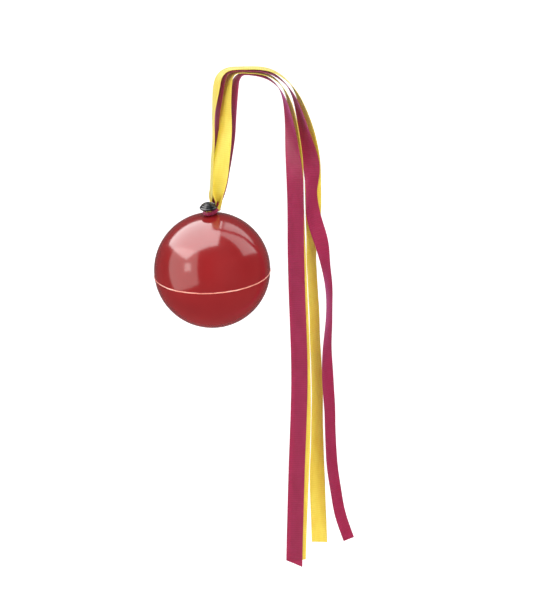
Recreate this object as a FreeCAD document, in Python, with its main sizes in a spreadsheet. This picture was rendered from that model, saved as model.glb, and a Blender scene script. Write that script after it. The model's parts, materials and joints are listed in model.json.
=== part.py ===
import FreeCAD, Part
import math
import os

# A hollow plastic ball hung on two long satin ribbons: a ribbon swing ball.
# Each ribbon is hitched at its middle round a peg at the ball's pole, so four strands
# rise from the peg, fold over the carrying finger, pass through the hand and hang as tails.
# +X is to the right, +Y is away from the viewer, +Z is up.  The origin is the point where
# the outermost strand leaves the finger, directly above the ball.  Millimetres.

doc = FreeCAD.newDocument("ribbon_ball")

# Driving dimensions: one row each of name, value and meaning.
DIMENSIONS = [
    ("ball_radius", 35.0, "outside of the ball"),
    ("wall", 1.6, "wall of both shells"),
    ("seam_drop", 1.9, "seam plane below the ball's centre"),
    ("bead_radius", 0.75, "section radius of the weld bead"),
    ("tongue_depth", 2.0, "length of the locating tongue at the seam"),
    ("tongue_gap", 0.05, "clearance round the tongue"),
    ("boss_radius", 6.0, "thick pad inside the pole"),
    ("boss_depth", 2.8, "pad's inner face below the pole"),
    ("stem_radius", 2.0, "stem of the peg"),
    ("stem_gap", 0.08, "running clearance of the stem in the ball"),
    ("stem_tip", 28.8, "lower end of the stem above the centre"),
    ("head_radius", 5.3, "mushroom head of the peg"),
    ("head_base", 39.3, "underside of the head above the centre"),
    ("head_rim", 1.5, "height of the head's straight rim"),
    ("head_dome", 2.6, "height of the head's dome"),
    ("hitch_base", 35.35, "underside of the lower ribbon hitch"),
    ("hitch_thick", 1.8, "thickness of one ribbon hitch"),
    ("hitch_radius", 3.9, "outside of the lower hitch"),
    ("hitch_taper", 0.3, "step in from the lower hitch to the upper one"),
    ("hitch_gap", 0.1, "gap between the two hitches"),
    ("hitch_eye", 2.05, "bore of a hitch and of the washer"),
    ("riser_reach", 6.15, "outer face of the pinched ribbon ends"),
    ("riser_thick", 0.6, "thickness of the pinched ribbon ends"),
    ("riser_width", 2.7, "width of the pinched ribbon ends"),
    ("riser_top", 44.5, "top of the pinched ribbon ends"),
    ("riser_split", 0.2, "half of the gap between the two ribbons' ends"),
    ("riser_heading", 25.0, "heading of the pinched ribbon ends from +X in degrees"),
    ("washer_radius", 6.0, "inner washer"),
    ("washer_top", 31.95, "upper face of the inner washer"),
    ("washer_thick", 0.75, "thickness of the inner washer"),
    ("nut_radius", 5.0, "push nut"),
    ("nut_thick", 0.6, "thickness of the push nut"),
    ("nut_slot", 0.8, "width of the push nut's slots"),
    ("ball_offset", -0.7, "ball's centre along X"),
    ("ball_hang", 112.9, "ball's centre below the origin"),
    ("ball_lean", 3.0, "lean of the ball's axis to the left in degrees"),
    ("ball_tip", 7.4, "lean of the ball's axis towards the viewer in degrees"),
    ("ribbon_width", 10.0, "ribbon"),
    ("ribbon_thick", 0.4, "ribbon with its stiffness allowance"),
]

sheet = doc.addObject("Spreadsheet::Sheet", "dimensions")
for row, (alias, value, meaning) in enumerate(DIMENSIONS, start=1):
    sheet.set("A%d" % row, alias)
    sheet.set("B%d" % row, "%g" % value)
    sheet.set("C%d" % row, meaning)
    sheet.setAlias("B%d" % row, alias)
doc.recompute()

size = {alias: float(sheet.get(alias)) for alias, value, meaning in DIMENSIONS}
pieces = []


def named(alias):
    """The expression that reads one driving dimension."""
    return "dimensions." + alias


# --- Primitives bound to the sheet -------------------------------------------------------

def bind(piece, **expressions):
    """Bind properties of a primitive; base_x, base_y and base_z place its origin."""
    for key, expression in expressions.items():
        target = ".Placement.Base." + key[-1] if key.startswith("base_") else key
        piece.setExpression(target, expression)
    return piece


def sphere(name, radius):
    return bind(doc.addObject("Part::Sphere", name), Radius=radius)


def cylinder(name, radius, height, base_z):
    return bind(doc.addObject("Part::Cylinder", name), Radius=radius, Height=height, base_z=base_z)


def box(name, length, width, height, base_x, base_y, base_z):
    block = doc.addObject("Part::Box", name)
    return bind(block, Length=length, Width=width, Height=height,
                base_x=base_x, base_y=base_y, base_z=base_z)


def cut(name, base, tool):
    result = doc.addObject("Part::Cut", name)
    result.Base = base
    result.Tool = tool
    return result


def common(name, base, tool):
    result = doc.addObject("Part::Common", name)
    result.Base = base
    result.Tool = tool
    return result


def fuse(name, shapes):
    result = doc.addObject("Part::MultiFuse", name)
    result.Shapes = shapes
    return result


def keep(piece, label, placement=None):
    """Mark a finished sub-part, with the name it is written under."""
    piece.Label = label
    if placement is not None:
        piece.Placement = placement
    pieces.append(piece)
    return piece


# The ball and its peg are drawn about the ball's centre with the peg's axis along +Z.
# This placement leans that axis to the left and towards the viewer, because the ribbons pull
# on the back right of the peg, and hangs it under the origin.
LEAN = FreeCAD.Rotation(FreeCAD.Vector(0, 1, 0), -size["ball_lean"])
TIP = FreeCAD.Rotation(FreeCAD.Vector(1, 0, 0), size["ball_tip"])
BALL_PLACE = FreeCAD.Placement(
    FreeCAD.Vector(size["ball_offset"], 0, -size["ball_hang"]), LEAN.multiply(TIP))


# --- Ball: two shells and the weld bead --------------------------------------------------

def slab(name, top, bottom):
    """A disc wider than the ball between two heights, for cutting it at the seam."""
    return cylinder(name, "2 * " + named("ball_radius"), "(%s) - (%s)" % (top, bottom), bottom)


SEAM = "-" + named("seam_drop")
TONGUE_END = "(%s - %s)" % (SEAM, named("tongue_depth"))
BELOW_BALL = "-2 * " + named("ball_radius")
ABOVE_BALL = "2 * " + named("ball_radius")
INNER = "(%s - %s)" % (named("ball_radius"), named("wall"))
MIDWALL = "(%s - %s / 2)" % (named("ball_radius"), named("wall"))


def hollow(name, outer_radius):
    """A closed shell from the given radius in to the ball's inner wall."""
    return cut(name, sphere(name + "_outer", outer_radius), sphere(name + "_inner", INNER))


def make_upper_shell():
    wall = common("upper_wall", hollow("upper_hollow", named("ball_radius")),
                  slab("upper_slab", ABOVE_BALL, SEAM))
    tongue = common("tongue", hollow("tongue_hollow", MIDWALL),
                    slab("tongue_slab", SEAM, TONGUE_END))
    pad = common("pole_pad", sphere("pad_limit", MIDWALL),
                 cylinder("pad", named("boss_radius"), named("boss_depth"),
                          "%s - %s" % (named("ball_radius"), named("boss_depth"))))
    solid = fuse("upper_solid", [wall, tongue, pad])
    hole = cylinder("stem_hole", "%s + %s" % (named("stem_radius"), named("stem_gap")),
                    named("ball_radius"), "0.5 * " + named("ball_radius"))
    keep(cut("upper", solid, hole), "upper_shell", BALL_PLACE)


def make_lower_shell():
    wall = common("lower_wall", hollow("lower_hollow", named("ball_radius")),
                  slab("lower_slab", SEAM, BELOW_BALL))
    rebate = common("rebate", sphere("rebate_limit", "%s + %s" % (MIDWALL, named("tongue_gap"))),
                    slab("rebate_slab", SEAM, "%s - %s" % (TONGUE_END, named("tongue_gap"))))
    keep(cut("lower", wall, rebate), "lower_shell", BALL_PLACE)


def make_seam_bead():
    ring = doc.addObject("Part::Torus", "bead_ring")
    bind(ring, Radius1="sqrt(%s ^ 2 - %s ^ 2)" % (named("ball_radius"), named("seam_drop")),
         Radius2=named("bead_radius"), base_z=SEAM)
    keep(cut("bead", ring, sphere("bead_core", named("ball_radius"))), "seam_bead", BALL_PLACE)


# --- Peg, its retainer and the two hitches -----------------------------------------------

def make_peg():
    """Mushroom head with a straight rim and a low dome, on a plain stem with a pointed tip."""
    stem = cylinder("stem", named("stem_radius"),
                    "%s - %s" % (named("head_base"), named("stem_tip")), named("stem_tip"))
    tip = doc.addObject("Part::Cone", "stem_point")
    bind(tip, Radius1="0.6 * " + named("stem_radius"), Radius2=named("stem_radius"),
         Height="0.6 * " + named("stem_radius"),
         base_z="%s - 0.6 * %s" % (named("stem_tip"), named("stem_radius")))
    rim = cylinder("head_side", named("head_radius"), named("head_rim"), named("head_base"))
    dome_radius = "((%s ^ 2 + %s ^ 2) / (2 * %s))" % (
        named("head_radius"), named("head_dome"), named("head_dome"))
    rim_top = "(%s + %s)" % (named("head_base"), named("head_rim"))
    dome_ball = sphere("dome_ball", dome_radius)
    bind(dome_ball, base_z="%s + %s - %s" % (rim_top, named("head_dome"), dome_radius))
    dome = common("head_cap", dome_ball,
                  cylinder("dome_limit", named("head_radius"), named("head_dome"), rim_top))
    groove = doc.addObject("Part::Torus", "cap_groove")
    bind(groove, Radius1="0.62 * " + named("head_radius"), Radius2="0.07 * " + named("head_radius"),
         base_z="%s + 0.62 * %s" % (rim_top, named("head_dome")))
    solid = fuse("peg_solid", [stem, tip, rim, dome])
    keep(cut("peg_cut", solid, groove), "peg", BALL_PLACE)


def turned(name, block, degrees):
    """A block turned about the peg's axis."""
    result = doc.addObject("Part::Compound", name)
    result.Links = [block]
    result.Placement = FreeCAD.Placement(
        FreeCAD.Vector(0, 0, 0), FreeCAD.Rotation(FreeCAD.Vector(0, 0, 1), degrees))
    return result


def make_hitch(label, base_z, radius, near_side):
    """A ribbon wrapped round the stem, with its two pinched ends rising past the head.

    near_side is the expression of the ends' nearer Y before they are turned to their heading.
    """
    wrap = cylinder(label + "_wrap", radius, named("hitch_thick"), base_z)
    foot = box(label + "_foot", "%s - 0.5 * %s" % (named("riser_reach"), named("hitch_radius")),
               named("riser_width"), named("hitch_thick"),
               "0.5 * " + named("hitch_radius"), near_side, base_z)
    riser = box(label + "_ends", named("riser_thick"), named("riser_width"),
                "%s - (%s)" % (named("riser_top"), base_z),
                "%s - %s" % (named("riser_reach"), named("riser_thick")), near_side, base_z)
    ends = [turned(part.Name + "_turned", part, size["riser_heading"]) for part in (foot, riser)]
    eye = cylinder(label + "_eye", named("hitch_eye"), "3 * " + named("hitch_thick"),
                   "(%s) - %s" % (base_z, named("hitch_thick")))
    keep(cut(label + "_body", fuse(label + "_solid", [wrap] + ends), eye), label, BALL_PLACE)


def make_washer():
    base_z = "%s - %s" % (named("washer_top"), named("washer_thick"))
    disc = cylinder("washer_disc", named("washer_radius"), named("washer_thick"), base_z)
    eye = cylinder("washer_eye", named("hitch_eye"), "3 * " + named("washer_thick"),
                   "%s - %s" % (base_z, named("washer_thick")))
    keep(cut("washer", disc, eye), "inner_washer", BALL_PLACE)


def make_push_nut():
    """A thin disc pressed on the stem, slotted so that its teeth can grip."""
    base_z = "%s - %s - %s - 0.1" % (named("washer_top"), named("washer_thick"), named("nut_thick"))
    disc = cylinder("nut_disc", named("nut_radius"), named("nut_thick"), base_z)
    eye = cylinder("nut_eye", named("stem_radius"), "3 * " + named("nut_thick"),
                   "%s - %s" % (base_z, named("nut_thick")))
    slots = []
    for index in range(3):
        slot = box("nut_slot_%d" % index, "1.3 * " + named("nut_radius"), named("nut_slot"),
                   "3 * " + named("nut_thick"), "-0.65 * " + named("nut_radius"),
                   "-0.5 * " + named("nut_slot"), "%s - %s" % (base_z, named("nut_thick")))
        slots.append(turned("nut_slot_turned_%d" % index, slot, 60 * index))
    tools = fuse("nut_tools", [eye] + slots)
    keep(cut("nut", disc, tools), "push_nut", BALL_PLACE)


# --- Ribbons -----------------------------------------------------------------------------

# A strand is one length of ribbon from the peg to its free tip.  It bends at five places,
# so it is five stretches with a small gap at each hinge.  A route point is (x, y, z, turn),
# where turn is the heading of the ribbon's width seen from above: 0 or 180 faces the viewer.
# Each stretch starts at the last point of the one before it.
ROUTES = {
    "crimson_front": {
        "drop": [(5.2, 1.4, -67, 138), (5.8, 1.8, -61, 128), (7.7, 2.0, -54, 112),
                 (9.7, 1.5, -46, 102), (10.9, 0.9, -38, 100), (11.9, 0.3, -27, 102),
                 (12.3, 0, -15, 105), (13.2, 0, 0, 110)],
        "crest": [(14.2, 0, 3.6, 106), (15.9, 0, 5.8, 100), (18.0, 0, 6.9, 94),
                  (20.6, 0, 7.1, 90)],
        "grip": [(31, 0, 5.1, 92), (39.5, -0.2, -2, 98), (45, -0.6, -17, 115),
                 (47.6, -1.2, -38, 145), (49.2, -2.0, -64, 184)],
        "tail_upper": [(49.6, -2.0, -98, 185), (50.6, -2.0, -135, 185), (51.9, -2.0, -176, 185)],
        "tail_lower": [(51.1, -2.0, -215, 185), (49.8, -2.0, -258, 185),
                       (49.0, -2.0, -297.5, 185)],
    },
    "yellow_back": {
        "drop": [(4.0, -2.6, -67, 166), (4.5, -3.4, -61, 167), (4.9, -4.0, -54, 166),
                 (5.0, -4.1, -46, 164), (5.6, -3.9, -39, 160), (6.6, -3.3, -30, 152),
                 (7.2, -2.5, -22, 145), (7.5, -1.5, -14, 135), (8.7, -0.3, 0, 120)],
        "crest": [(9.8, 0, 4.3, 113), (11.8, 0, 7.0, 104), (15.0, 0, 8.15, 95),
                  (20.6, 0, 8.2, 90)],
        "grip": [(32, 0, 6.4, 92), (41.5, 0, -1, 98), (47.3, 0, -17, 115),
                 (49.0, -0.2, -38, 145), (49.3, -0.9, -64, 184)],
        "tail_upper": [(50.5, -0.9, -98, 185), (52.1, -0.9, -135, 185), (53.7, -0.9, -176, 185)],
        "tail_lower": [(53.8, -0.9, -215, 185), (52.2, -0.9, -258, 185),
                       (51.1, -0.9, -295.5, 185)],
    },
    "crimson_side": {
        "drop": [(2.6, 1.4, -67, 142), (2.5, 2.0, -59, 138), (2.1, 3.0, -48, 126),
                 (1.3, 4.2, -39, 114), (0.8, 4.5, -31, 108), (1.1, 4.2, -23, 106),
                 (2.1, 3.0, -14, 108), (4.5, 1.6, 0, 114)],
        "crest": [(5.7, 1.2, 4.6, 110), (8.0, 0.8, 7.7, 102), (12.0, 0.3, 9.2, 95),
                  (20.6, 0, 9.3, 90)],
        "grip": [(33, 0, 7.7, 92), (44, 0.2, 0, 98), (51.5, 0.8, -15, 115),
                 (56.5, 2.2, -36, 145), (58.9, 2.5, -50, 184), (58.7, 0.4, -64, 226)],
        "tail_upper": [(60.0, 0.4, -79.4, 212), (64.4, 0.4, -94.3, 212), (67.5, 0.4, -109.2, 236),
                       (69.3, 0.4, -124, 245), (69.7, 0.4, -137, 248), (69.2, 0.4, -150, 243)],
        "tail_lower": [(68.7, 0.4, -162, 237), (68.7, 0.4, -176, 228), (69.6, 0.4, -191, 227),
                       (70.8, 0.4, -214, 230), (71.6, 0.4, -232, 229), (73.9, 0.4, -250, 230),
                       (77.3, 0.4, -267, 230), (82.3, 0.4, -282.5, 231)],
    },
    "yellow_side": {
        "drop": [(-1.6, 0.6, -67, 96), (-1.8, 0.8, -61, 96), (-1.5, 1.0, -54, 97),
                 (-1.0, 0.9, -45, 98), (-0.5, 0.6, -37, 98), (-0.3, 0.3, -27, 98),
                 (0, 0.1, -15, 100), (1.6, 0, 0, 112)],
        "crest": [(2.4, 0, 3.6, 110), (4.3, 0, 7.0, 105), (8.2, 0, 9.7, 98), (13.5, 0, 10.4, 93),
                  (20.6, 0, 10.4, 90)],
        "grip": [(34, 0, 9, 92), (46, 0.4, 1, 98), (54.0, 1.6, -14, 115),
                 (58.6, 3.6, -36, 145), (59.6, 4.6, -50, 172), (59.9, 4.8, -64, 182)],
        "tail_upper": [(59.9, 4.8, -79.4, 200), (59.3, 4.8, -94, 226), (59.0, 4.8, -109, 235),
                       (60.5, 4.8, -136, 234), (61.7, 4.8, -165, 232)],
        "tail_lower": [(62.6, 4.8, -190, 228), (62.8, 4.8, -208, 225), (62.8, 4.8, -230, 215),
                       (62.9, 4.8, -243, 204), (63.6, 4.8, -262, 201), (64.5, 4.8, -286, 200)],
    },
}

# Half of the gap left at the start and at the end of each stretch, and its station spacing.
STRETCHES = [
    ("drop", 0.0, 0.5, 5.0),
    ("crest", 0.5, 0.3, 2.5),
    ("grip", 0.3, 0.3, 5.0),
    ("tail_upper", 0.3, 0.3, 10.0),
    ("tail_lower", 0.3, 0.0, 10.0),
]


class Strand:
    """A smooth centre line through a strand's route, with the ribbon's turn along it."""

    def __init__(self, route):
        points = []
        self.ends = {}
        for stretch, start_gap, end_gap, spacing in STRETCHES:
            first = max(len(points) - 1, 0)
            points.extend(route[stretch])
            self.ends[stretch] = (first, len(points) - 1)
        places = [FreeCAD.Vector(*point[:3]) for point in points]
        self.curve = Part.BSplineCurve()
        self.curve.interpolate(places)
        start = self.curve.FirstParameter
        self.runs = []
        for place in places:
            here = self.curve.parameter(place)
            run = self.curve.length(start, here) if here > start else 0.0
            self.runs.append(run)
        self.turns = [point[3] for point in points]

    def turn(self, run):
        """The ribbon's heading at a distance along the centre line."""
        for index in range(1, len(self.runs)):
            if run <= self.runs[index] or index == len(self.runs) - 1:
                span = self.runs[index] - self.runs[index - 1]
                share = (run - self.runs[index - 1]) / span
                return self.turns[index - 1] + share * (self.turns[index] - self.turns[index - 1])

    def section(self, run):
        """The ribbon's rectangular section at a distance along the centre line."""
        here = self.curve.parameterAtDistance(run, self.curve.FirstParameter)
        centre = self.curve.value(here)
        along = FreeCAD.Vector(*self.curve.tangent(here)[0])
        heading = math.radians(self.turn(run))
        across = FreeCAD.Vector(math.cos(heading), math.sin(heading), 0)
        across = (across - along * across.dot(along)).normalize()
        face = along.cross(across)
        half_width = across * (size["ribbon_width"] / 2)
        half_thick = face * (size["ribbon_thick"] / 2)
        corners = [centre + half_width + half_thick, centre - half_width + half_thick,
                   centre - half_width - half_thick, centre + half_width - half_thick]
        return Part.makePolygon(corners + corners[:1])

    def solid(self, stretch, start_gap, end_gap, spacing):
        first, last = self.ends[stretch]
        begin = self.runs[first] + start_gap
        finish = self.runs[last] - end_gap
        count = max(2, round((finish - begin) / spacing))
        runs = [begin + (finish - begin) * step / count for step in range(count + 1)]
        return Part.makeLoft([self.section(run) for run in runs], True, True)


def make_ribbons():
    for strand_name, route in ROUTES.items():
        strand = Strand(route)
        print("%s: %.0f mm from the peg to the tip" % (strand_name, strand.runs[-1]))
        for stretch, start_gap, end_gap, spacing in STRETCHES:
            piece = doc.addObject("Part::Feature", strand_name + "_" + stretch)
            piece.Shape = strand.solid(stretch, start_gap, end_gap, spacing)
            keep(piece, strand_name + "_" + stretch)


# --- Build, check and write --------------------------------------------------------------

def single_solid(piece):
    """The sub-part's one solid."""
    solids = piece.Shape.Solids
    if piece.Shape.isNull() or len(solids) != 1 or not solids[0].isValid():
        raise RuntimeError("bad shape: %s (%d solids)" % (piece.Label, len(solids)))
    return solids[0]


make_upper_shell()
make_lower_shell()
make_seam_bead()
make_peg()
make_hitch("crimson_hitch", named("hitch_base"), named("hitch_radius"), named("riser_split"))
make_hitch("yellow_hitch",
           "%s + %s + %s" % (named("hitch_base"), named("hitch_thick"), named("hitch_gap")),
           "%s - %s" % (named("hitch_radius"), named("hitch_taper")),
           "-%s - %s" % (named("riser_split"), named("riser_width")))
make_washer()
make_push_nut()
make_ribbons()
doc.recompute()

for item in doc.Objects:
    if "Invalid" in item.State or "Error" in item.State:
        raise RuntimeError("failed object: %s %s" % (item.Name, item.State))

os.makedirs("parts", exist_ok=True)
for piece in pieces:
    solid = single_solid(piece)
    solid.exportStep("parts/%s.step" % piece.Label)
    print("%-28s %9.2f mm3" % (piece.Label, solid.Volume))
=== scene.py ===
import json
import math

import bpy
import numpy as np
from mathutils import Matrix, Vector


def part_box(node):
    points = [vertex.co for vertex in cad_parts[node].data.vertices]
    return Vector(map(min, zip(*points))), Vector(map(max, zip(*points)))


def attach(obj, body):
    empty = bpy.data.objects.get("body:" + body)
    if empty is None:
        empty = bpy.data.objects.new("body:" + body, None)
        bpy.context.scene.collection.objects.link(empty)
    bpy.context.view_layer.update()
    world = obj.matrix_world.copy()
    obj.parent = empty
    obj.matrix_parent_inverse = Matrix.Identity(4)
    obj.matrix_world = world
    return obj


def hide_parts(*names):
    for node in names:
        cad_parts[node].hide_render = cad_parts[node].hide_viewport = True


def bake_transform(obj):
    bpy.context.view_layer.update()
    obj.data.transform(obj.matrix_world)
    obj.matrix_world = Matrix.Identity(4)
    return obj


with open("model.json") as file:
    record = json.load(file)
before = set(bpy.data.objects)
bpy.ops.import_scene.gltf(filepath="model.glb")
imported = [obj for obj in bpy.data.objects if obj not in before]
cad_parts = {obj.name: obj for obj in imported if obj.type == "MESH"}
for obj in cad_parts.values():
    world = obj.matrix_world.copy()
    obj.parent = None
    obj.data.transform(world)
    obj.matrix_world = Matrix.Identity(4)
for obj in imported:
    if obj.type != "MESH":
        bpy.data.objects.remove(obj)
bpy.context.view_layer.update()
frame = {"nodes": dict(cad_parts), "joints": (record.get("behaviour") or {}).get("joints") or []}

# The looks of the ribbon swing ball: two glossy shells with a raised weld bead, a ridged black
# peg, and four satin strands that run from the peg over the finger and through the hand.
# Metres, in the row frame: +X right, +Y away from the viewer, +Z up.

MM = 0.001

JOINTS = {joint["name"]: joint for joint in frame["joints"]}


# --- Where things are, read from the frame -----------------------------------------------

def joined_box(*nodes):
    """The box round several CAD nodes."""
    boxes = [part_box(node) for node in nodes]
    low = Vector([min(box[0][axis] for box in boxes) for axis in range(3)])
    high = Vector([max(box[1][axis] for box in boxes) for axis in range(3)])
    return low, high


BALL_LOW, BALL_HIGH = joined_box("upper_shell", "lower_shell")
BALL_RADIUS = (BALL_HIGH.y - BALL_LOW.y) / 2
BALL_CENTRE = Vector(((BALL_LOW.x + BALL_HIGH.x) / 2, 0, BALL_LOW.z + BALL_RADIUS))
BALL_AXIS = Vector(JOINTS["ball_spin"]["axis"]).normalized()
SEAM_CENTRE = sum(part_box("seam_bead"), Vector()) / 2
SEAM_HEIGHT = (SEAM_CENTRE - BALL_CENTRE).dot(BALL_AXIS)
BALL_PLACE = Matrix.Translation(BALL_CENTRE) @ BALL_AXIS.to_track_quat("Z", "Y").to_matrix().to_4x4()
RIBBON_WIDTH = 10 * MM


# --- Mesh helpers ------------------------------------------------------------------------

def new_mesh(name, points, faces, place=None, uvs=None):
    """A smooth-shaded mesh object; uvs gives one (u, v) for each vertex."""
    mesh = bpy.data.meshes.new(name)
    mesh.from_pydata([tuple(point) for point in points], [], faces)
    if place is not None:
        mesh.transform(place)
    if uvs is not None:
        layer = mesh.uv_layers.new(name="UVMap")
        for loop in mesh.loops:
            layer.data[loop.index].uv = uvs[loop.vertex_index]
    mesh.validate()
    mesh.shade_smooth()
    piece = bpy.data.objects.new(name, mesh)
    bpy.context.scene.collection.objects.link(piece)
    return piece


def ring_faces(rings, count, closed_rings):
    """Quads between rings of count points; closed_rings joins the last ring to the first."""
    faces = []
    for ring in range(rings if closed_rings else rings - 1):
        following = (ring + 1) % rings
        for index in range(count):
            beside = (index + 1) % count
            faces.append((ring * count + index, following * count + index,
                          following * count + beside, ring * count + beside))
    return faces


def arc(centre_r, centre_z, radius, start, finish, steps):
    """Points (r, z) on an arc, with angles in degrees from +r towards +z."""
    angles = [math.radians(start + (finish - start) * step / steps) for step in range(steps + 1)]
    return [(centre_r + radius * math.cos(a), centre_z + radius * math.sin(a)) for a in angles]


def lathe(name, profile, segments, ripple=None):
    """Turn a closed (r, z) outline in millimetres about the ball's axis.

    ripple(turn, index) gives an (r, z) offset in millimetres for an uneven ring.
    """
    points = []
    for step in range(segments):
        turn = 2 * math.pi * step / segments
        for index, (r, z) in enumerate(profile):
            if ripple is not None:
                extra_r, extra_z = ripple(turn, index)
                r, z = r + extra_r, z + extra_z
            points.append((r * MM * math.cos(turn), r * MM * math.sin(turn), z * MM))
    faces = ring_faces(segments, len(profile), True)
    uvs = [(step / segments * 60, index / len(profile))
           for step in range(segments) for index in range(len(profile))]
    piece = new_mesh(name, points, faces, BALL_PLACE, uvs)
    flip_if_inside_out(piece)
    return piece


def crease_at(piece, angle):
    """Keep edges sharper than the angle, in degrees, crisp in an otherwise smooth mesh."""
    piece.data.set_sharp_from_angle(angle=math.radians(angle))


def flip_if_inside_out(piece):
    """Turn all the faces of a closed mesh outwards."""
    mesh = piece.data
    volume = 0.0
    for polygon in mesh.polygons:
        corners = [mesh.vertices[v].co for v in polygon.vertices]
        for second, third in zip(corners[1:], corners[2:]):
            volume += corners[0].dot(second.cross(third))
    if volume < 0:
        mesh.flip_normals()


# --- Materials ---------------------------------------------------------------------------

RED_DEEP = (0.215, 0.0095, 0.011)
RED_BRIGHT = (0.265, 0.0125, 0.0135)
BEAD_DEEP = (0.5, 0.08, 0.06)
BEAD_MIDDLE = (0.78, 0.3, 0.22)
BEAD_PALE = (0.92, 0.56, 0.47)
BLACK_DEEP = (0.002, 0.003, 0.004)
BLACK_HAZE = (0.008, 0.009, 0.012)
STEEL_DEEP = (0.3, 0.3, 0.31)
STEEL_BRIGHT = (0.5, 0.5, 0.52)
NATURAL_DEEP = (0.62, 0.6, 0.54)
NATURAL_BRIGHT = (0.74, 0.72, 0.67)
PAPER_DEEP = (0.86, 0.86, 0.86)
PAPER_BRIGHT = (0.9, 0.9, 0.9)
PAPER_GLOW = 0.62


class Paint:
    """A node material under construction, with short names for the nodes it uses."""

    def __init__(self, name):
        self.material = bpy.data.materials.new(name)
        self.material.use_nodes = True
        self.tree = self.material.node_tree
        self.shader = self.tree.nodes["Principled BSDF"]

    def node(self, kind, **settings):
        """A new node; each setting goes to the input of that name or else to the property."""
        made = self.tree.nodes.new(kind)
        for key, value in settings.items():
            if key in made.inputs:
                made.inputs[key].default_value = value
            else:
                setattr(made, key, value)
        return made

    def link(self, source, target):
        self.tree.links.new(source, target)

    def set(self, **values):
        """Set the shader's own sockets, with an underscore for each space in a socket's name."""
        for key, value in values.items():
            self.shader.inputs[key.replace("_", " ")].default_value = value

    def coords(self, kind, scale):
        """Texture coordinates of a kind, stretched by scale."""
        source = self.node("ShaderNodeTexCoord")
        mapping = self.node("ShaderNodeMapping")
        mapping.inputs["Scale"].default_value = scale
        self.link(source.outputs[kind], mapping.inputs["Vector"])
        return mapping.outputs["Vector"]

    def noise(self, vector, scale, detail=3.0, roughness=0.55):
        made = self.node("ShaderNodeTexNoise", Scale=scale, Detail=detail, Roughness=roughness)
        self.link(vector, made.inputs["Vector"])
        return made.outputs["Fac"]

    def wave(self, vector, direction, scale, distortion=0.0):
        made = self.node("ShaderNodeTexWave", bands_direction=direction, Scale=scale,
                         Distortion=distortion)
        self.link(vector, made.inputs["Vector"])
        return made.outputs["Fac"]

    def ramp(self, factor, stops):
        """A colour ramp with stops of (position, colour)."""
        made = self.node("ShaderNodeValToRGB")
        ramp = made.color_ramp
        while len(ramp.elements) < len(stops):
            ramp.elements.new(0.5)
        for element, (position, colour) in zip(ramp.elements, stops):
            element.position = position
            element.color = (*colour, 1.0)
        self.link(factor, made.inputs["Fac"])
        return made.outputs["Color"]

    def span(self, factor, low, high):
        """The factor remapped from 0 to 1 onto low to high."""
        made = self.node("ShaderNodeMapRange")
        made.inputs["To Min"].default_value = low
        made.inputs["To Max"].default_value = high
        self.link(factor, made.inputs["Value"])
        return made.outputs["Result"]

    def mix(self, factor, first, second, blend="MIX"):
        made = self.node("ShaderNodeMix", data_type="RGBA", blend_type=blend)
        for value, socket in ((factor, made.inputs[0]), (first, made.inputs[6]),
                              (second, made.inputs[7])):
            if isinstance(value, (int, float)):
                socket.default_value = value
            elif isinstance(value, tuple):
                socket.default_value = (*value, 1.0)
            else:
                self.link(value, socket)
        return made.outputs[2]

    def bump(self, heights):
        """Stack bumps of (height, distance in millimetres) onto the shader's normal."""
        normal = None
        for height, distance in heights:
            made = self.node("ShaderNodeBump", Strength=1.0, Distance=distance * MM)
            self.link(height, made.inputs["Height"])
            if normal is not None:
                self.link(normal, made.inputs["Normal"])
            normal = made.outputs["Normal"]
        self.link(normal, self.shader.inputs["Normal"])


def ball_plastic():
    """Red moulded plastic: slow colour drift, faint orange peel and fine handling scuffs."""
    paint = Paint("red_moulded_plastic")
    object_space = paint.coords("Object", (1, 1, 1))
    drift = paint.noise(object_space, 28, 2)
    colour = paint.ramp(drift, [(0.3, RED_DEEP), (0.7, RED_BRIGHT)])
    paint.link(colour, paint.shader.inputs["Base Color"])
    scuff = paint.noise(paint.coords("Object", (1, 1, 5)), 240, 5, 0.7)
    paint.link(paint.span(scuff, 0.09, 0.2), paint.shader.inputs["Roughness"])
    peel = paint.noise(object_space, 520, 2)
    sink = paint.noise(object_space, 42, 2)
    paint.bump([(sink, 0.12), (peel, 0.004)])
    paint.set(IOR=1.5, Specular_IOR_Level=0.55)
    return paint.material


def bead_plastic():
    """Stress-whitened weld flash: paler and duller than the shells, uneven along its length."""
    paint = Paint("weld_bead_plastic")
    along = paint.noise(paint.coords("Object", (1, 1, 1)), 95, 4, 0.7)
    colour = paint.ramp(along, [(0.3, BEAD_DEEP), (0.5, BEAD_MIDDLE), (0.7, BEAD_PALE)])
    paint.link(colour, paint.shader.inputs["Base Color"])
    grit = paint.noise(paint.coords("Object", (1, 1, 1)), 900, 3)
    paint.link(paint.span(grit, 0.3, 0.5), paint.shader.inputs["Roughness"])
    paint.bump([(grit, 0.03)])
    return paint.material


def peg_plastic():
    """Glossy black plastic with a slight haze."""
    paint = Paint("black_gloss_plastic")
    object_space = paint.coords("Object", (1, 1, 1))
    haze = paint.noise(object_space, 320, 4)
    colour = paint.ramp(haze, [(0.35, BLACK_DEEP), (0.7, BLACK_HAZE)])
    paint.link(colour, paint.shader.inputs["Base Color"])
    paint.link(paint.span(haze, 0.06, 0.16), paint.shader.inputs["Roughness"])
    paint.bump([(paint.noise(object_space, 1400, 2), 0.01)])
    paint.set(IOR=1.5, Specular_IOR_Level=0.5)
    return paint.material


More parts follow.
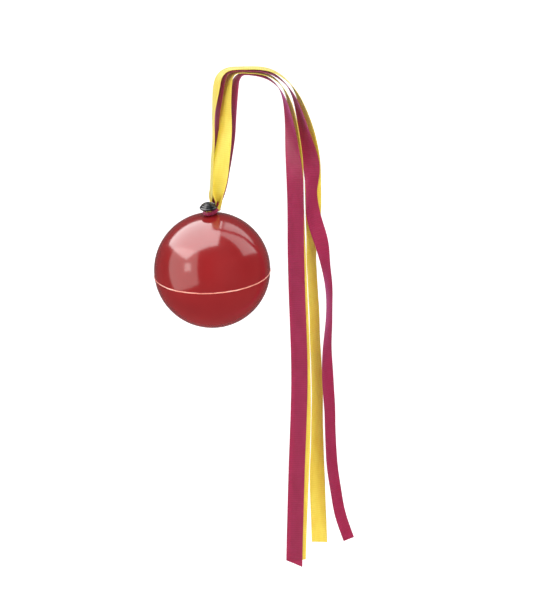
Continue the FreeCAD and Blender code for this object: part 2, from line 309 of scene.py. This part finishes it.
def satin(name, deep, bright, painted_sheen, sheen_tint):
    """Single-face satin ribbon: fine warp streaks, weft ribs and a soft sheen.

    u runs along the ribbon and v across it, one unit to a ribbon's width.  The colour goes from
    deep to bright along the threads; where the surface is seen edge on it is painted towards a
    lighter colour, a painted sheen.
    """
    paint = Paint(name)
    surface = paint.coords("UV", (1, 1, 1))
    streaks = paint.noise(paint.coords("UV", (0.5, 22, 1)), 3, 4, 0.6)
    clouds = paint.noise(paint.coords("UV", (0.35, 0.9, 1)), 2.2, 2)
    thread = paint.mix(0.45, streaks, clouds)
    body = paint.ramp(thread, [(0.32, deep), (0.68, bright)])
    # Painted sheen: the base colour turns towards the lighter sheen colour where the ribbon is seen edge on.
    facing = paint.node("ShaderNodeLayerWeight", Blend=0.32)
    glow = paint.ramp(facing.outputs["Facing"], [(0.35, (0, 0, 0)), (0.95, (0.75, 0.75, 0.75))])
    colour = paint.mix(glow, body, painted_sheen)
    paint.link(paint.span(streaks, 0.34, 0.5), paint.shader.inputs["Roughness"])
    weft = paint.wave(surface, "X", 2.4, 0.6)
    ribbed = paint.mix(paint.span(weft, 0.0, 0.16), colour, deep, "MULTIPLY")
    paint.link(ribbed, paint.shader.inputs["Base Color"])
    warp = paint.wave(surface, "Y", 14.0, 0.2)
    paint.bump([(weft, 0.05), (warp, 0.012), (streaks, 0.02)])
    paint.set(Subsurface_Weight=0.3, Subsurface_Radius=(1.0, 0.5, 0.5), Subsurface_Scale=1.6 * MM)
    paint.set(Anisotropic=0.45, Sheen_Weight=0.35, Sheen_Roughness=0.35,
              Sheen_Tint=(*sheen_tint, 1.0), Specular_IOR_Level=0.45)
    return paint.material


def inner_metal():
    """Plain spring steel with a rolled grain."""
    paint = Paint("spring_steel")
    grain = paint.noise(paint.coords("Object", (1, 12, 1)), 300, 4)
    colour = paint.ramp(grain, [(0.3, STEEL_DEEP), (0.7, STEEL_BRIGHT)])
    paint.link(colour, paint.shader.inputs["Base Color"])
    paint.link(paint.span(grain, 0.25, 0.4), paint.shader.inputs["Roughness"])
    paint.set(Metallic=1.0)
    return paint.material


def inner_plastic():
    """Natural unpigmented washer plastic."""
    paint = Paint("natural_plastic")
    cloud = paint.noise(paint.coords("Object", (1, 1, 1)), 400, 3)
    colour = paint.ramp(cloud, [(0.3, NATURAL_DEEP), (0.7, NATURAL_BRIGHT)])
    paint.link(colour, paint.shader.inputs["Base Color"])
    paint.link(paint.span(cloud, 0.4, 0.55), paint.shader.inputs["Roughness"])
    return paint.material


def stage_white():
    """Matte white paper that glows slightly, so that the sweep stays pale at its far end."""
    paint = Paint("paper_sweep")
    fibre = paint.noise(paint.coords("Object", (1, 1, 1)), 60, 4)
    colour = paint.ramp(fibre, [(0.3, PAPER_DEEP), (0.7, PAPER_BRIGHT)])
    paint.link(colour, paint.shader.inputs["Base Color"])
    paint.set(Roughness=0.9, Specular_IOR_Level=0.1, Emission_Color=(1, 1, 1, 1),
              Emission_Strength=PAPER_GLOW)
    return paint.material


def dress(piece, material):
    """Give a piece its one material."""
    piece.data.materials.clear()
    piece.data.materials.append(material)
    return piece


# --- Camera and light --------------------------------------------------------------------

# The camera looks at VIEW_CENTRE, where the picture's longer side spans VIEW_HEIGHT.
CAMERA_ELEVATION = 13.5
CAMERA_DISTANCE = 2.4
VIEW_CENTRE = Vector((32.0, 0, -131.6)) * MM
VIEW_HEIGHT = 361.8 * MM
SENSOR = 36.0


def make_camera():
    data = bpy.data.cameras.new("camera")
    data.sensor_width = SENSOR
    data.lens = SENSOR * CAMERA_DISTANCE / VIEW_HEIGHT
    data.clip_start = 0.1
    camera = bpy.data.objects.new("camera", data)
    bpy.context.scene.collection.objects.link(camera)
    lift = math.radians(CAMERA_ELEVATION)
    back = Vector((0, -math.cos(lift), math.sin(lift)))
    camera.location = VIEW_CENTRE + back * CAMERA_DISTANCE
    camera.rotation_mode = "QUATERNION"
    camera.rotation_quaternion = (-back).to_track_quat("-Z", "Y")
    bpy.context.scene.camera = camera


def make_softbox(name, azimuth, elevation, distance, width, height, radiance, colour):
    """An area light that faces the ball; azimuth 0 is the camera's side and + is to the right."""
    data = bpy.data.lights.new(name, "AREA")
    data.shape = "RECTANGLE"
    data.size = width
    data.size_y = height
    data.energy = radiance * math.pi * width * height
    data.color = colour
    lamp = bpy.data.objects.new(name, data)
    bpy.context.scene.collection.objects.link(lamp)
    turn, lift = math.radians(azimuth), math.radians(elevation)
    out = Vector((math.sin(turn) * math.cos(lift), -math.cos(turn) * math.cos(lift), math.sin(lift)))
    across = (Vector((1, 0, 0)) - out * out.x).normalized()
    lamp.location = BALL_CENTRE + out * distance
    lamp.rotation_mode = "QUATERNION"
    lamp.rotation_quaternion = Matrix((across, out.cross(across), out)).transposed().to_quaternion()
    return lamp


# The sweep's outline in metres, seen from the side: its near end, the floor's height, where the
# backdrop stands, the radius between them and the backdrop's top.  It reaches as far to each side.
SWEEP_NEAR = -2.6
SWEEP_FLOOR = -0.62
SWEEP_WALL = 2.6
SWEEP_BEND = 1.2
SWEEP_TOP = 3.0
SWEEP_REACH = 3.0


def make_sweep():
    """A paper sweep: a floor well below the tails that curves up into a backdrop."""
    bend_y = SWEEP_WALL - SWEEP_BEND
    bend_z = SWEEP_FLOOR + SWEEP_BEND
    turns = [math.radians(degrees) for degrees in range(0, 91, 6)]
    outline = [(SWEEP_NEAR, SWEEP_FLOOR)]
    outline += [(bend_y + SWEEP_BEND * math.sin(turn), bend_z - SWEEP_BEND * math.cos(turn))
                for turn in turns]
    outline += [(SWEEP_WALL, SWEEP_TOP)]
    points = [(side * SWEEP_REACH, y, z) for y, z in outline for side in (-1, 1)]
    faces = [(2 * i, 2 * i + 1, 2 * i + 3, 2 * i + 2) for i in range(len(outline) - 1)]
    sweep = new_mesh("paper_sweep", points, faces)
    sweep.data.materials.append(stage_white())
    sweep.visible_glossy = False


# How bright the surroundings are as light on the object, and as the camera sees them.
WORLD_LIGHT = 0.16
WORLD_SEEN = 1.0
WORLD_COLOUR = (0.95, 0.97, 1.0, 1.0)

# Name, azimuth and elevation in degrees, distance, width and height in metres, radiance, colour.
# The lamps light the object and show in no reflection.
LAMPS = [
    ("overhead", 4, 74, 0.85, 0.95, 0.75, 3.8, (1.0, 0.98, 0.97)),
    ("front", 32, 14, 1.9, 1.8, 1.8, 2.3, (1.0, 1.0, 1.0)),
    ("left", -62, 8, 1.6, 2.0, 2.2, 1.6, (1.0, 0.98, 0.96)),
]
# The cards make the reflections and add no diffuse light.  Where one is in line with a lamp it
# stands nearer, so that the lamp doesn't hide it.
CARDS = [
    ("window_card", -62, 8, 1.5, 1.9, 2.1, 2.4, (1.0, 0.95, 0.9)),
    ("window_core", -50, 13, 1.45, 0.34, 0.36, 4.5, (1.0, 0.98, 0.95)),
    ("ceiling_card", -100, 64, 0.9, 1.4, 1.4, 7.0, (1.0, 0.98, 0.98)),
    ("side_card", 109, 46, 1.1, 1.1, 0.9, 3.0, (1.0, 0.98, 0.98)),
]


def make_world():
    """Surroundings that light the object weakly and look pale behind it from every side."""
    world = bpy.data.worlds.new("studio")
    world.use_nodes = True
    tree = world.node_tree
    background = tree.nodes["Background"]
    background.inputs["Color"].default_value = WORLD_COLOUR
    path = tree.nodes.new("ShaderNodeLightPath")
    seen = tree.nodes.new("ShaderNodeMapRange")
    seen.inputs["To Min"].default_value = WORLD_LIGHT
    seen.inputs["To Max"].default_value = WORLD_SEEN
    tree.links.new(path.outputs["Is Camera Ray"], seen.inputs["Value"])
    tree.links.new(seen.outputs["Result"], background.inputs["Strength"])
    bpy.context.scene.world = world


def make_light():
    """Soft light from above, the front and the left, with cards for the reflections."""
    make_world()
    for row in LAMPS:
        make_softbox(*row).visible_glossy = False
    for row in CARDS:
        make_softbox(*row).visible_diffuse = False
    bpy.context.scene.view_settings.view_transform = "Standard"
    bpy.context.scene.view_settings.look = "None"


# --- Ribbons -----------------------------------------------------------------------------

# A strand's route in millimetres, as (x, y, z, turn, curl).  turn is the heading of the ribbon's
# width seen from above, and curl the angle that its section bends through, edge to edge, both in
# degrees.  Each stretch starts where the one before it ends, at a place that follows one body only.
ROUTES = {
    "crimson_front": {
        "neck": [(2.2, -0.4, -76.0, 125, 290), (2.2, 1.3, -73.2, 130, 280), (2.6, 2.0, -70, 135, 230),
                 (3.2, 2.1, -66, 136, 160), (4.6, 2.1, -61, 130, 90), (7.1, 2.0, -54, 114, 38),
                 (9.6, 1.5, -46, 102, 18)],
        "fold": [(11.0, 0.9, -38, 100, 14), (11.9, 0.3, -27, 107, 12), (12.4, 0, -15, 111, 10),
                 (13.2, 0, 0, 115, 8), (14.3, 0, 3.5, 110, 6), (16.0, 0, 5.6, 102, 4),
                 (18.0, 0, 6.9, 94, 2)],
        "hand": [(20.6, 0, 7.1, 90, 2), (31, 0, 5.1, 92, 6), (39.5, -0.2, -2, 98, 10),
                 (45, -0.6, -17, 115, 30)],
        "tail_top": [(47.6, -1.2, -38, 145, 30), (49.2, -2.0, -64, 184, 14), (49.6, -2.0, -98, 185, 14),
                     (49.9, -2.0, -112, 185, 14)],
        "tail_tip": [(50.6, -2.0, -135, 185, 14), (51.9, -2.0, -176, 185, 14),
                     (51.1, -2.0, -215, 185, 14), (49.8, -2.0, -258, 185, 16), (49.0, -2.0, -297.1, 185, 18)],
    },
    "yellow_back": {
        "neck": [(2.2, -1.8, -76.0, 150, -320), (3.0, -1.7, -73.4, 155, -320), (3.6, -2.4, -70, 160, -280),
                 (3.5, -2.9, -66.5, 165, -200), (4.1, -3.4, -61, 167, -145), (4.7, -4.0, -54, 166, -80),
                 (5.1, -4.1, -46, 163, -16)],
        "fold": [(5.9, -3.9, -39, 156, 4), (7.0, -3.3, -30, 145, 10), (7.5, -2.5, -22, 139, 14),
                 (7.7, -1.5, -14, 131, 14), (8.7, -0.3, 0, 120, 10), (9.9, 0, 4.1, 113, 8),
                 (12.0, 0, 6.8, 104, 4), (15.2, 0, 8.05, 95, 2)],
        "hand": [(20.6, 0, 8.2, 90, 2), (32, 0, 6.4, 92, 6), (41.5, 0, -1, 98, 10),
                 (47.3, 0, -17, 115, 20)],
        "tail_top": [(49.0, -0.2, -38, 145, 20), (49.3, -0.9, -64, 184, 10), (50.5, -0.9, -98, 185, 10),
                     (51.1, -0.9, -112, 185, 10)],
        "tail_tip": [(52.1, -0.9, -135, 185, 10), (53.7, -0.9, -176, 185, 10),
                     (53.8, -0.9, -215, 185, 12), (52.2, -0.9, -258, 185, 10), (51.1, -0.9, -295.3, 185, 10)],
    },
    "crimson_side": {
        "neck": [(2.0, -0.2, -76.3, 130, 270), (1.2, 1.0, -73.0, 135, 220), (1.3, 0.5, -69.8, 150, 200),
                 (1.8, 1.0, -66, 146, 140), (2.2, 1.9, -59, 138, 46), (2.3, 3.0, -48, 126, 20)],
        "fold": [(1.8, 4.2, -39, 114, 14), (1.8, 4.5, -31, 108, 12), (2.2, 4.2, -23, 106, 12),
                 (3.0, 3.0, -14, 108, 10), (4.7, 1.6, 0, 114, 8), (6.1, 1.2, 4.5, 110, 6),
                 (8.6, 0.8, 7.6, 102, 4), (12.6, 0.3, 9.15, 95, 2)],
        "hand": [(20.6, 0, 9.3, 90, 2), (33, 0, 7.7, 92, 6), (44, 0.2, 0, 98, 10),
                 (51.5, 0.8, -15, 115, 20)],
        "tail_top": [(56.5, 2.2, -36, 145, 30), (58.9, 2.5, -50, 184, 30), (58.7, 0.4, -64, 226, 26),
                     (60.0, 0.4, -79.4, 212, 24), (64.4, 0.4, -94.3, 212, 20), (67.5, 0.4, -109.2, 236, 16)],
        "tail_tip": [(69.3, 0.4, -124, 245, 14), (69.7, 0.4, -137, 248, 14), (69.2, 0.4, -150, 243, 14),
                     (68.7, 0.4, -162, 237, 14), (68.7, 0.4, -176, 228, 16), (69.6, 0.4, -191, 227, 16),
                     (70.8, 0.4, -214, 230, 14), (71.6, 0.4, -232, 229, 12), (73.9, 0.4, -250, 230, 12),
                     (77.3, 0.4, -267, 230, 12), (82.3, 0.4, -282.2, 231, 12)],
    },
    "yellow_side": {
        "neck": [(1.4, 0.8, -76.0, 110, -270), (0.3, 3.7, -73.4, 100, -130), (-1.0, 4.0, -70.0, 98, -36),
                 (-1.0, 2.4, -66.5, 99, -10), (-1.1, 1.2, -61, 100, 10), (-0.9, 1.0, -54, 100, 14),
                 (-0.6, 0.9, -45, 99, 14)],
        "fold": [(-0.1, 0.6, -37, 98, 14), (0.2, 0.3, -27, 98, 12), (0.5, 0.1, -15, 100, 10),
                 (2.3, 0, 0, 112, 8), (3.2, 0, 3.5, 110, 6), (5.2, 0, 6.9, 105, 4), (9.1, 0, 9.6, 98, 2),
                 (14.2, 0, 10.4, 93, 2)],
        "hand": [(20.6, 0, 10.4, 90, 2), (34, 0, 9, 92, 6), (46, 0.4, 1, 98, 10),
                 (54, 1.6, -14, 115, 20)],
        "tail_top": [(58.6, 3.6, -36, 145, 30), (59.6, 4.6, -50, 172, 40), (59.9, 4.8, -64, 182, 46),
                     (59.9, 4.8, -79.4, 200, 40), (59.3, 4.8, -94, 226, 24), (59.0, 4.8, -109, 235, 16)],
        "tail_tip": [(60.5, 4.8, -136, 234, 12), (61.7, 4.8, -165, 232, 12), (62.6, 4.8, -190, 228, 14),
                     (62.8, 4.8, -208, 225, 14), (62.8, 4.8, -230, 215, 12), (62.9, 4.8, -243, 204, 10),
                     (63.6, 4.8, -262, 201, 10), (64.5, 4.8, -285.3, 200, 8)],
    },
}

# How far the cut end leans across the ribbon, in millimetres from edge to edge, and the length of
# ribbon behind the end over which the lean grows.
END_SLANT = {"crimson_front": -4.4, "yellow_back": 1.2, "crimson_side": -2.0, "yellow_side": -1.6}
SLANT_REACH = 14.0

# The CAD node that each stretch stands for.
STRETCH_NODES = {"neck": "drop", "fold": "crest", "hand": "grip",
                 "tail_top": "tail_upper", "tail_tip": "tail_lower"}

# The ribbon's section in millimetres: faces across it, length of a row of faces, thickness, and
# the selvedges' extra thickness, which starts SELVEDGE_START of the width away from the middle.
ACROSS = 14
RUN_STEP = 1.25
THICKNESS = 0.24
SELVEDGE = 0.06
SELVEDGE_START = 0.44
SHARES = [index / ACROSS - 0.5 for index in range(ACROSS + 1)]

# Slow waves along the ribbon's edges, as (height, length of one radian, phase) in millimetres.
SWAYS = [(0.22, 9.0, 1.0), (0.12, 4.1, 0.0)]
SWAY_AT_EDGE = 0.6


def spline_slopes(knots, values):
    """Slopes of the natural cubic spline through the values at the knots."""
    count = len(knots)
    gaps = np.diff(knots)
    steps = np.diff(values, axis=0) / gaps[:, None]
    system = np.zeros((count, count))
    wanted = np.zeros_like(values)
    system[0, :2] = 2, 1
    wanted[0] = 3 * steps[0]
    for i in range(1, count - 1):
        system[i, i - 1:i + 2] = gaps[i], 2 * (gaps[i - 1] + gaps[i]), gaps[i - 1]
        wanted[i] = 3 * (gaps[i] * steps[i - 1] + gaps[i - 1] * steps[i])
    system[-1, -2:] = 1, 2
    wanted[-1] = 3 * steps[-1]
    return np.linalg.solve(system, wanted)


def spline_at(knots, values, slopes, places):
    """Values of the spline at each place."""
    index = np.clip(np.searchsorted(knots, places, side="right") - 1, 0, len(knots) - 2)
    gap = (knots[index + 1] - knots[index])[:, None]
    t = (places - knots[index])[:, None] / gap
    return ((1 + 2 * t) * (1 - t) ** 2 * values[index] + t * (1 - t) ** 2 * gap * slopes[index]
            + t * t * (3 - 2 * t) * values[index + 1] + t * t * (t - 1) * gap * slopes[index + 1])


class Strand:
    """One strand: a smooth centre line with the ribbon's turn and curl along it."""

    def __init__(self, name):
        rows = [row for stretch in ROUTES[name].values() for row in stretch]
        self.values = np.array(rows, float)
        chords = np.linalg.norm(np.diff(self.values[:, :3], axis=0), axis=1)
        self.knots = np.concatenate([[0], np.cumsum(chords)])
        self.slopes = spline_slopes(self.knots, self.values)
        self.slant = END_SLANT[name]
        self.ends = {}
        last = 0
        for stretch, points in ROUTES[name].items():
            first = last
            last = first + len(points) - (1 if first == 0 else 0)
            self.ends[stretch] = (self.knots[first], self.knots[last])

    def at(self, places):
        """Rows of (x, y, z, turn, curl) at distances along the strand."""
        return spline_at(self.knots, self.values, self.slopes, places)

    def stations(self, stretch):
        """Distances along a stretch, with the row and the unit direction at each."""
        start, finish = self.ends[stretch]
        count = max(4, round((finish - start) / RUN_STEP))
        places = np.linspace(start, finish, count + 1)
        nudge = 0.05
        along = self.at(places + nudge)[:, :3] - self.at(places - nudge)[:, :3]
        along /= np.linalg.norm(along, axis=1)[:, None]
        return zip(places, self.at(places), along)

    def slanted(self, place, share):
        """Distance along the strand, moved near the free end to give the slanted cut."""
        into = max(0.0, place - (self.knots[-1] - SLANT_REACH)) / SLANT_REACH
        return place + self.slant * share * into * into


def section_offset(share, curl):
    """Offsets across and out of the ribbon for a share of its width, -0.5 to 0.5."""
    width = RIBBON_WIDTH / MM
    bend = math.radians(curl)
    if abs(bend) < 1e-3:
        return share * width, 0.0
    radius = width / bend
    lift = radius * (math.cos(share * bend) - math.sin(bend / 2) / (bend / 2))
    return radius * math.sin(share * bend), lift


def half_thickness(share):
    """Half the ribbon's thickness, which swells at the selvedges."""
    edge = max(0.0, abs(share) - SELVEDGE_START) / (0.5 - SELVEDGE_START)
    return (THICKNESS + SELVEDGE * math.sin(math.pi * min(1.0, edge))) / 2


def edge_wave(place, share):
    """How far the section lifts at a share of its width: none in the middle, most at an edge."""
    sway = sum(height * math.sin(place / length + phase) for height, length, phase in SWAYS)
    return SWAY_AT_EDGE * sway * (2 * abs(share)) ** 2


def section(strand, place, row, direction):
    """A closed ring of points round the ribbon at one station, with the (u, v) of each."""
    heading = math.radians(row[3])
    curl = row[4]
    flat = np.array([math.cos(heading), math.sin(heading), 0.0])
    flat -= direction * flat.dot(direction)
    flat /= np.linalg.norm(flat)
    face = np.cross(direction, flat)
    points, uvs = [], []
    for layer, shares in ((1, SHARES), (-1, SHARES[::-1])):
        for share in shares:
            across, lift = section_offset(share, curl)
            lean = math.radians(curl) * share
            out = face * math.cos(lean) + flat * math.sin(lean)
            moved = strand.slanted(place, share)
            point = row[:3] + flat * across + face * (lift + edge_wave(place, share))
            point = point + out * half_thickness(share) * layer + direction * (moved - place)
            points.append(point * MM)
            uvs.append((moved * MM / RIBBON_WIDTH, share + 0.5))
    return points, uvs


def ribbon(name, strand, stretch):
    """A closed thin strip along one stretch of a strand."""
    points, uvs = [], []
    for place, row, direction in strand.stations(stretch):
        ring_points, ring_uvs = section(strand, place, row, direction)
        points += ring_points
        uvs += ring_uvs
    ring = 2 * len(SHARES)
    rings = len(points) // ring
    faces = ring_faces(rings, ring, False)
    last = (rings - 1) * ring
    for index in range(ACROSS):
        opposite = ring - 1 - index
        faces.append((index, index + 1, opposite - 1, opposite))
        faces.append((last + opposite, last + opposite - 1, last + index + 1, last + index))
    piece = new_mesh(name, points, faces, None, uvs)
    flip_if_inside_out(piece)
    crease_at(piece, 60)
    return piece


def make_strand(name, material):
    """One strand of ribbon, as a piece for each of its five stretches."""
    strand = Strand(name)
    for stretch in ROUTES[name]:
        piece = dress(ribbon("ribbon_%s_%s" % (name, stretch), strand, stretch), material)
        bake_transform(piece)
        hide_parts("%s_%s" % (name, STRETCH_NODES[stretch]))


# --- Ball --------------------------------------------------------------------------------

# All in millimetres from the ball's centre, along and away from its axis.
OUTER = BALL_RADIUS / MM
WALL = 1.6
INNER = OUTER - WALL
MIDDLE = OUTER - WALL / 2
SEAM = SEAM_HEIGHT / MM
SEAM_RIM = math.sqrt(OUTER ** 2 - SEAM ** 2)

# The seam: the corner taken off each shell's outer edge, the upper shell's tongue inside the
# lower one, and its play below and beside.
SEAM_ROUND = 0.25
SEAM_INSET = 0.2
TONGUE = 2.0
PLAY_BELOW = 0.1
PLAY_BESIDE = 0.05

# The peg's hole, with a rounded edge, and the thick pad round it.
HOLE_RADIUS = 2.08
HOLE_ROUND = 0.18
HOLE_STEPS = [(0.04, 0.16), (0.0, 0.4)]
PAD_RADIUS = 6.0
PAD_DEPTH = 2.8
PAD_CHAMFER = 0.3

# The moulding gate at the bottom pole: a shallow dimple with a small stub in it.
GATE_ANGLE = 86.5
GATE_STEPS = [(1.0, 0.12), (0.8, -0.05), (0.001, -0.08)]
GATE_EDGE = (0.12, 0.1)


def latitude(radius, height):
    """The angle in degrees of a height on a sphere about the ball's centre."""
    return math.degrees(math.asin(height / radius))


def upper_outline():
    """The upper shell's section: outside, hole, pad, inside and tongue."""
    hole_top = math.degrees(math.acos((HOLE_RADIUS + HOLE_ROUND) / OUTER))
    outline = arc(0, 0, OUTER, latitude(OUTER, SEAM + SEAM_ROUND), hole_top, 90)
    outline += [(HOLE_RADIUS + wider, OUTER - drop) for wider, drop in HOLE_STEPS]
    outline += [(HOLE_RADIUS, OUTER - PAD_DEPTH), (PAD_RADIUS - PAD_CHAMFER, OUTER - PAD_DEPTH),
                (PAD_RADIUS, OUTER - PAD_DEPTH + PAD_CHAMFER)]
    pad_edge = math.degrees(math.acos(PAD_RADIUS / INNER))
    outline += arc(0, 0, INNER, pad_edge, latitude(INNER, SEAM - TONGUE), 60)
    outline += arc(0, 0, MIDDLE - PLAY_BESIDE, latitude(MIDDLE, SEAM - TONGUE),
                   latitude(MIDDLE, SEAM), 4)
    return outline + [(SEAM_RIM - SEAM_INSET, SEAM)]


def lower_outline():
    """The lower shell's section: outside, gate, inside and the rebate for the tongue."""
    foot = SEAM - TONGUE - PLAY_BELOW
    gate = OUTER * math.cos(math.radians(GATE_ANGLE))
    depth = -OUTER * math.sin(math.radians(GATE_ANGLE))
    outline = arc(0, 0, OUTER, latitude(OUTER, SEAM - SEAM_ROUND), -GATE_ANGLE, 90)
    outline += [(gate - GATE_EDGE[0], depth + GATE_EDGE[1])]
    outline += [(r, depth + rise) for r, rise in GATE_STEPS]
    outline += arc(0, 0, INNER, -89.99, latitude(INNER, foot), 70)
    outline += arc(0, 0, MIDDLE, latitude(MIDDLE, foot), latitude(MIDDLE, SEAM), 4)
    return outline + [(SEAM_RIM - SEAM_INSET, SEAM)]


def make_shells(red):
    """The ball's two shells."""
    upper = lathe("ball_upper", upper_outline(), 240)
    lower = lathe("ball_lower", lower_outline(), 240)
    for piece, node in ((upper, "upper_shell"), (lower, "lower_shell")):
        crease_at(piece, 30)
        dress(piece, red)
        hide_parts(node)
        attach(piece, "ball")


# The bead's half height, how far it stands proud, and how deep its foot is in the shells.
BEAD_REACH = 0.36
BEAD_RISE = 0.22
BEAD_FOOT = 0.3
# Waves round the seam, as (share or size in millimetres, times round, phase).
BEAD_SWELL = 0.09
BEAD_SWELLS = [(0.4, 7, 1), (0.3, 19, 0), (0.3, 53, 2), (0.2, 131, 0)]
BEAD_DRIFTS = [(0.05, 11, 0), (0.04, 29, 1)]


def waves(turn, terms):
    """A sum of waves round the axis."""
    return sum(size * math.sin(times * turn + phase) for size, times, phase in terms)


def make_bead(material):
    """The weld flash: a low ridge whose height and width wander along the seam."""
    foot = SEAM_RIM - BEAD_FOOT
    arch = [(foot, SEAM - BEAD_REACH), (SEAM_RIM + 0.05, SEAM - BEAD_REACH)]
    turns = [math.radians(degrees) for degrees in range(30, 151, 20)]
    arch += [(SEAM_RIM + BEAD_RISE * math.sin(turn), SEAM - 0.8 * BEAD_REACH * math.cos(turn))
             for turn in turns]
    arch += [(SEAM_RIM - 0.02, SEAM + BEAD_REACH), (foot, SEAM + BEAD_REACH)]

    def wander(turn, index):
        """The whole ridge drifts up and down, and all but its foot swells."""
        swells = 1 < index < len(arch) - 2
        swell = BEAD_SWELL * waves(turn, BEAD_SWELLS) if swells else 0.0
        return swell, waves(turn, BEAD_DRIFTS)

    piece = lathe("ball_weld_bead", arch, 720, wander)
    crease_at(piece, 50)
    dress(piece, material)
    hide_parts("seam_bead")
    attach(piece, "ball")


# --- Peg and hitches ---------------------------------------------------------------------

# The peg in millimetres.  Its base and tip are measured from the ball's centre along its axis,
# and its rim and crown from the base.
HEAD_RADIUS = 5.3
HEAD_BASE = 38.7
HEAD_LIP = 0.45
RIM_RISE = 1.65
CROWN_RISE = 4.1
STEM_RADIUS = 2.0
STEM_TIP = 28.8
STEM_POINT = 1.2

# The crown falls from its middle as this power of the radius.  Its ridges are rings.
DOME_POWER = 2.2
RIDGE_HEIGHT = 0.34
RIDGE_PITCH = 1.15
RIDGE_FREE_MIDDLE = 1.7
CROWN_STEPS = 40


def stem_outline():
    """The stem's pointed tip and side, up to the underside of the head."""
    return [(0.001, STEM_TIP - STEM_POINT), (0.9, STEM_TIP - STEM_POINT), (1.2, STEM_TIP - 1.05),
            (STEM_RADIUS, STEM_TIP), (STEM_RADIUS, HEAD_BASE - 0.3), (STEM_RADIUS + 0.3, HEAD_BASE)]


def crown_outline():
    """The crown from its rim to its middle, with its ring ridges."""
    outline = []
    for step in range(1, CROWN_STEPS + 1):
        r = (HEAD_RADIUS - 0.22) * (1 - step / CROWN_STEPS)
        fall = (CROWN_RISE - RIM_RISE) * (r / HEAD_RADIUS) ** DOME_POWER
        ridge = RIDGE_HEIGHT * math.cos(2 * math.pi * (HEAD_RADIUS - r) / RIDGE_PITCH)
        if r <= RIDGE_FREE_MIDDLE:
            ridge = 0.0
        outline.append((max(r, 0.001), HEAD_BASE + CROWN_RISE - fall + ridge - 0.12))
    return outline


def make_peg(black):
    """Lens-shaped head with ridges on its crown, on a plain stem with a pointed tip."""
    profile = stem_outline()
    profile += [(4.3, HEAD_BASE + 0.05), (4.9, HEAD_BASE + 0.5)]
    profile += arc(HEAD_RADIUS - HEAD_LIP, HEAD_BASE + 1.2, HEAD_LIP, -50, 60, 8)
    profile += crown_outline()
    piece = lathe("peg_head_and_stem", profile, 144)
    crease_at(piece, 50)
    dress(piece, black)
    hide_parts("peg")
    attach(piece, "peg")


# A hitch's lobe: its heading and angular spread about the peg in radians, and how much of its
# size it also rises by.  The pleats deepen and lift the section by these shares.
LOBE_HEADING = math.radians(25)
LOBE_SPREAD = 0.42
LOBE_RISE = 0.45
PLEAT_DEPTH = 0.14
PLEAT_LIFT = 0.12


def make_hitch(name, node, material, radius, height, half_height, half_width, lobe, pleats):
    """A gathered turn of ribbon round the stem, with soft pleats and a lobe where its ends rise."""
    around, across = 240, 18
    points, uvs = [], []
    for step in range(around):
        turn = 2 * math.pi * step / around
        pleat = (math.sin(pleats * turn) + 0.5 * math.sin((pleats + 4) * turn + 1)) / 1.5
        away = (turn - LOBE_HEADING + math.pi) % (2 * math.pi) - math.pi
        extra = lobe * math.exp(-(away / LOBE_SPREAD) ** 2)
        for index in range(across):
            angle = 2 * math.pi * index / across
            bulge = 1 + PLEAT_DEPTH * pleat * max(0.0, math.cos(angle))
            r = radius + extra / 2 + (half_width + extra / 2) * bulge * math.cos(angle)
            z = height + LOBE_RISE * extra + half_height * (1 + PLEAT_LIFT * pleat) * math.sin(angle)
            points.append((r * MM * math.cos(turn), r * MM * math.sin(turn), z * MM))
            uvs.append((turn * radius * MM / RIBBON_WIDTH, index / across))
    piece = new_mesh(name, points, ring_faces(around, across, True), BALL_PLACE, uvs)
    flip_if_inside_out(piece)
    dress(piece, material)
    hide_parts(node)
    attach(piece, "peg")


def dress_inner_nodes():
    """The pieces inside the ball keep their CAD shape, with softened edges."""
    for node, material, slot in (("inner_washer", inner_plastic(), "washer_plastic"),
                                 ("push_nut", inner_metal(), "spring_steel")):
        piece = frame["nodes"][node]
        dress(piece, material)
        bevel = piece.modifiers.new("soft_edges", "BEVEL")
        bevel.width = 0.08 * MM
        bevel.segments = 2
        bevel.limit_method = "ANGLE"


# --- Build -------------------------------------------------------------------------------

make_camera()
make_light()
make_sweep()

# The third colour of each satin is the painted sheen it shows where a ribbon is seen edge on.
crimson = satin("crimson_satin", deep=(0.235, 0.0075, 0.043), bright=(0.30, 0.0125, 0.066),
                painted_sheen=(0.5, 0.09, 0.28), sheen_tint=(0.75, 0.3, 0.8))
yellow = satin("yellow_satin", deep=(0.67, 0.48, 0.034), bright=(0.78, 0.63, 0.088),
               painted_sheen=(0.86, 0.75, 0.22), sheen_tint=(1.0, 0.95, 0.55))
make_shells(ball_plastic())
make_bead(bead_plastic())
make_peg(peg_plastic())
make_hitch("hitch_crimson", "crimson_hitch", crimson, radius=2.65, height=36.75,
           half_height=1.3, half_width=0.8, lobe=2.8, pleats=9)
make_hitch("hitch_yellow", "yellow_hitch", yellow, radius=2.5, height=38.3,
           half_height=0.4, half_width=0.42, lobe=1.6, pleats=7)
dress_inner_nodes()
make_strand("crimson_front", crimson)
make_strand("yellow_back", yellow)
make_strand("crimson_side", crimson)
make_strand("yellow_side", yellow)
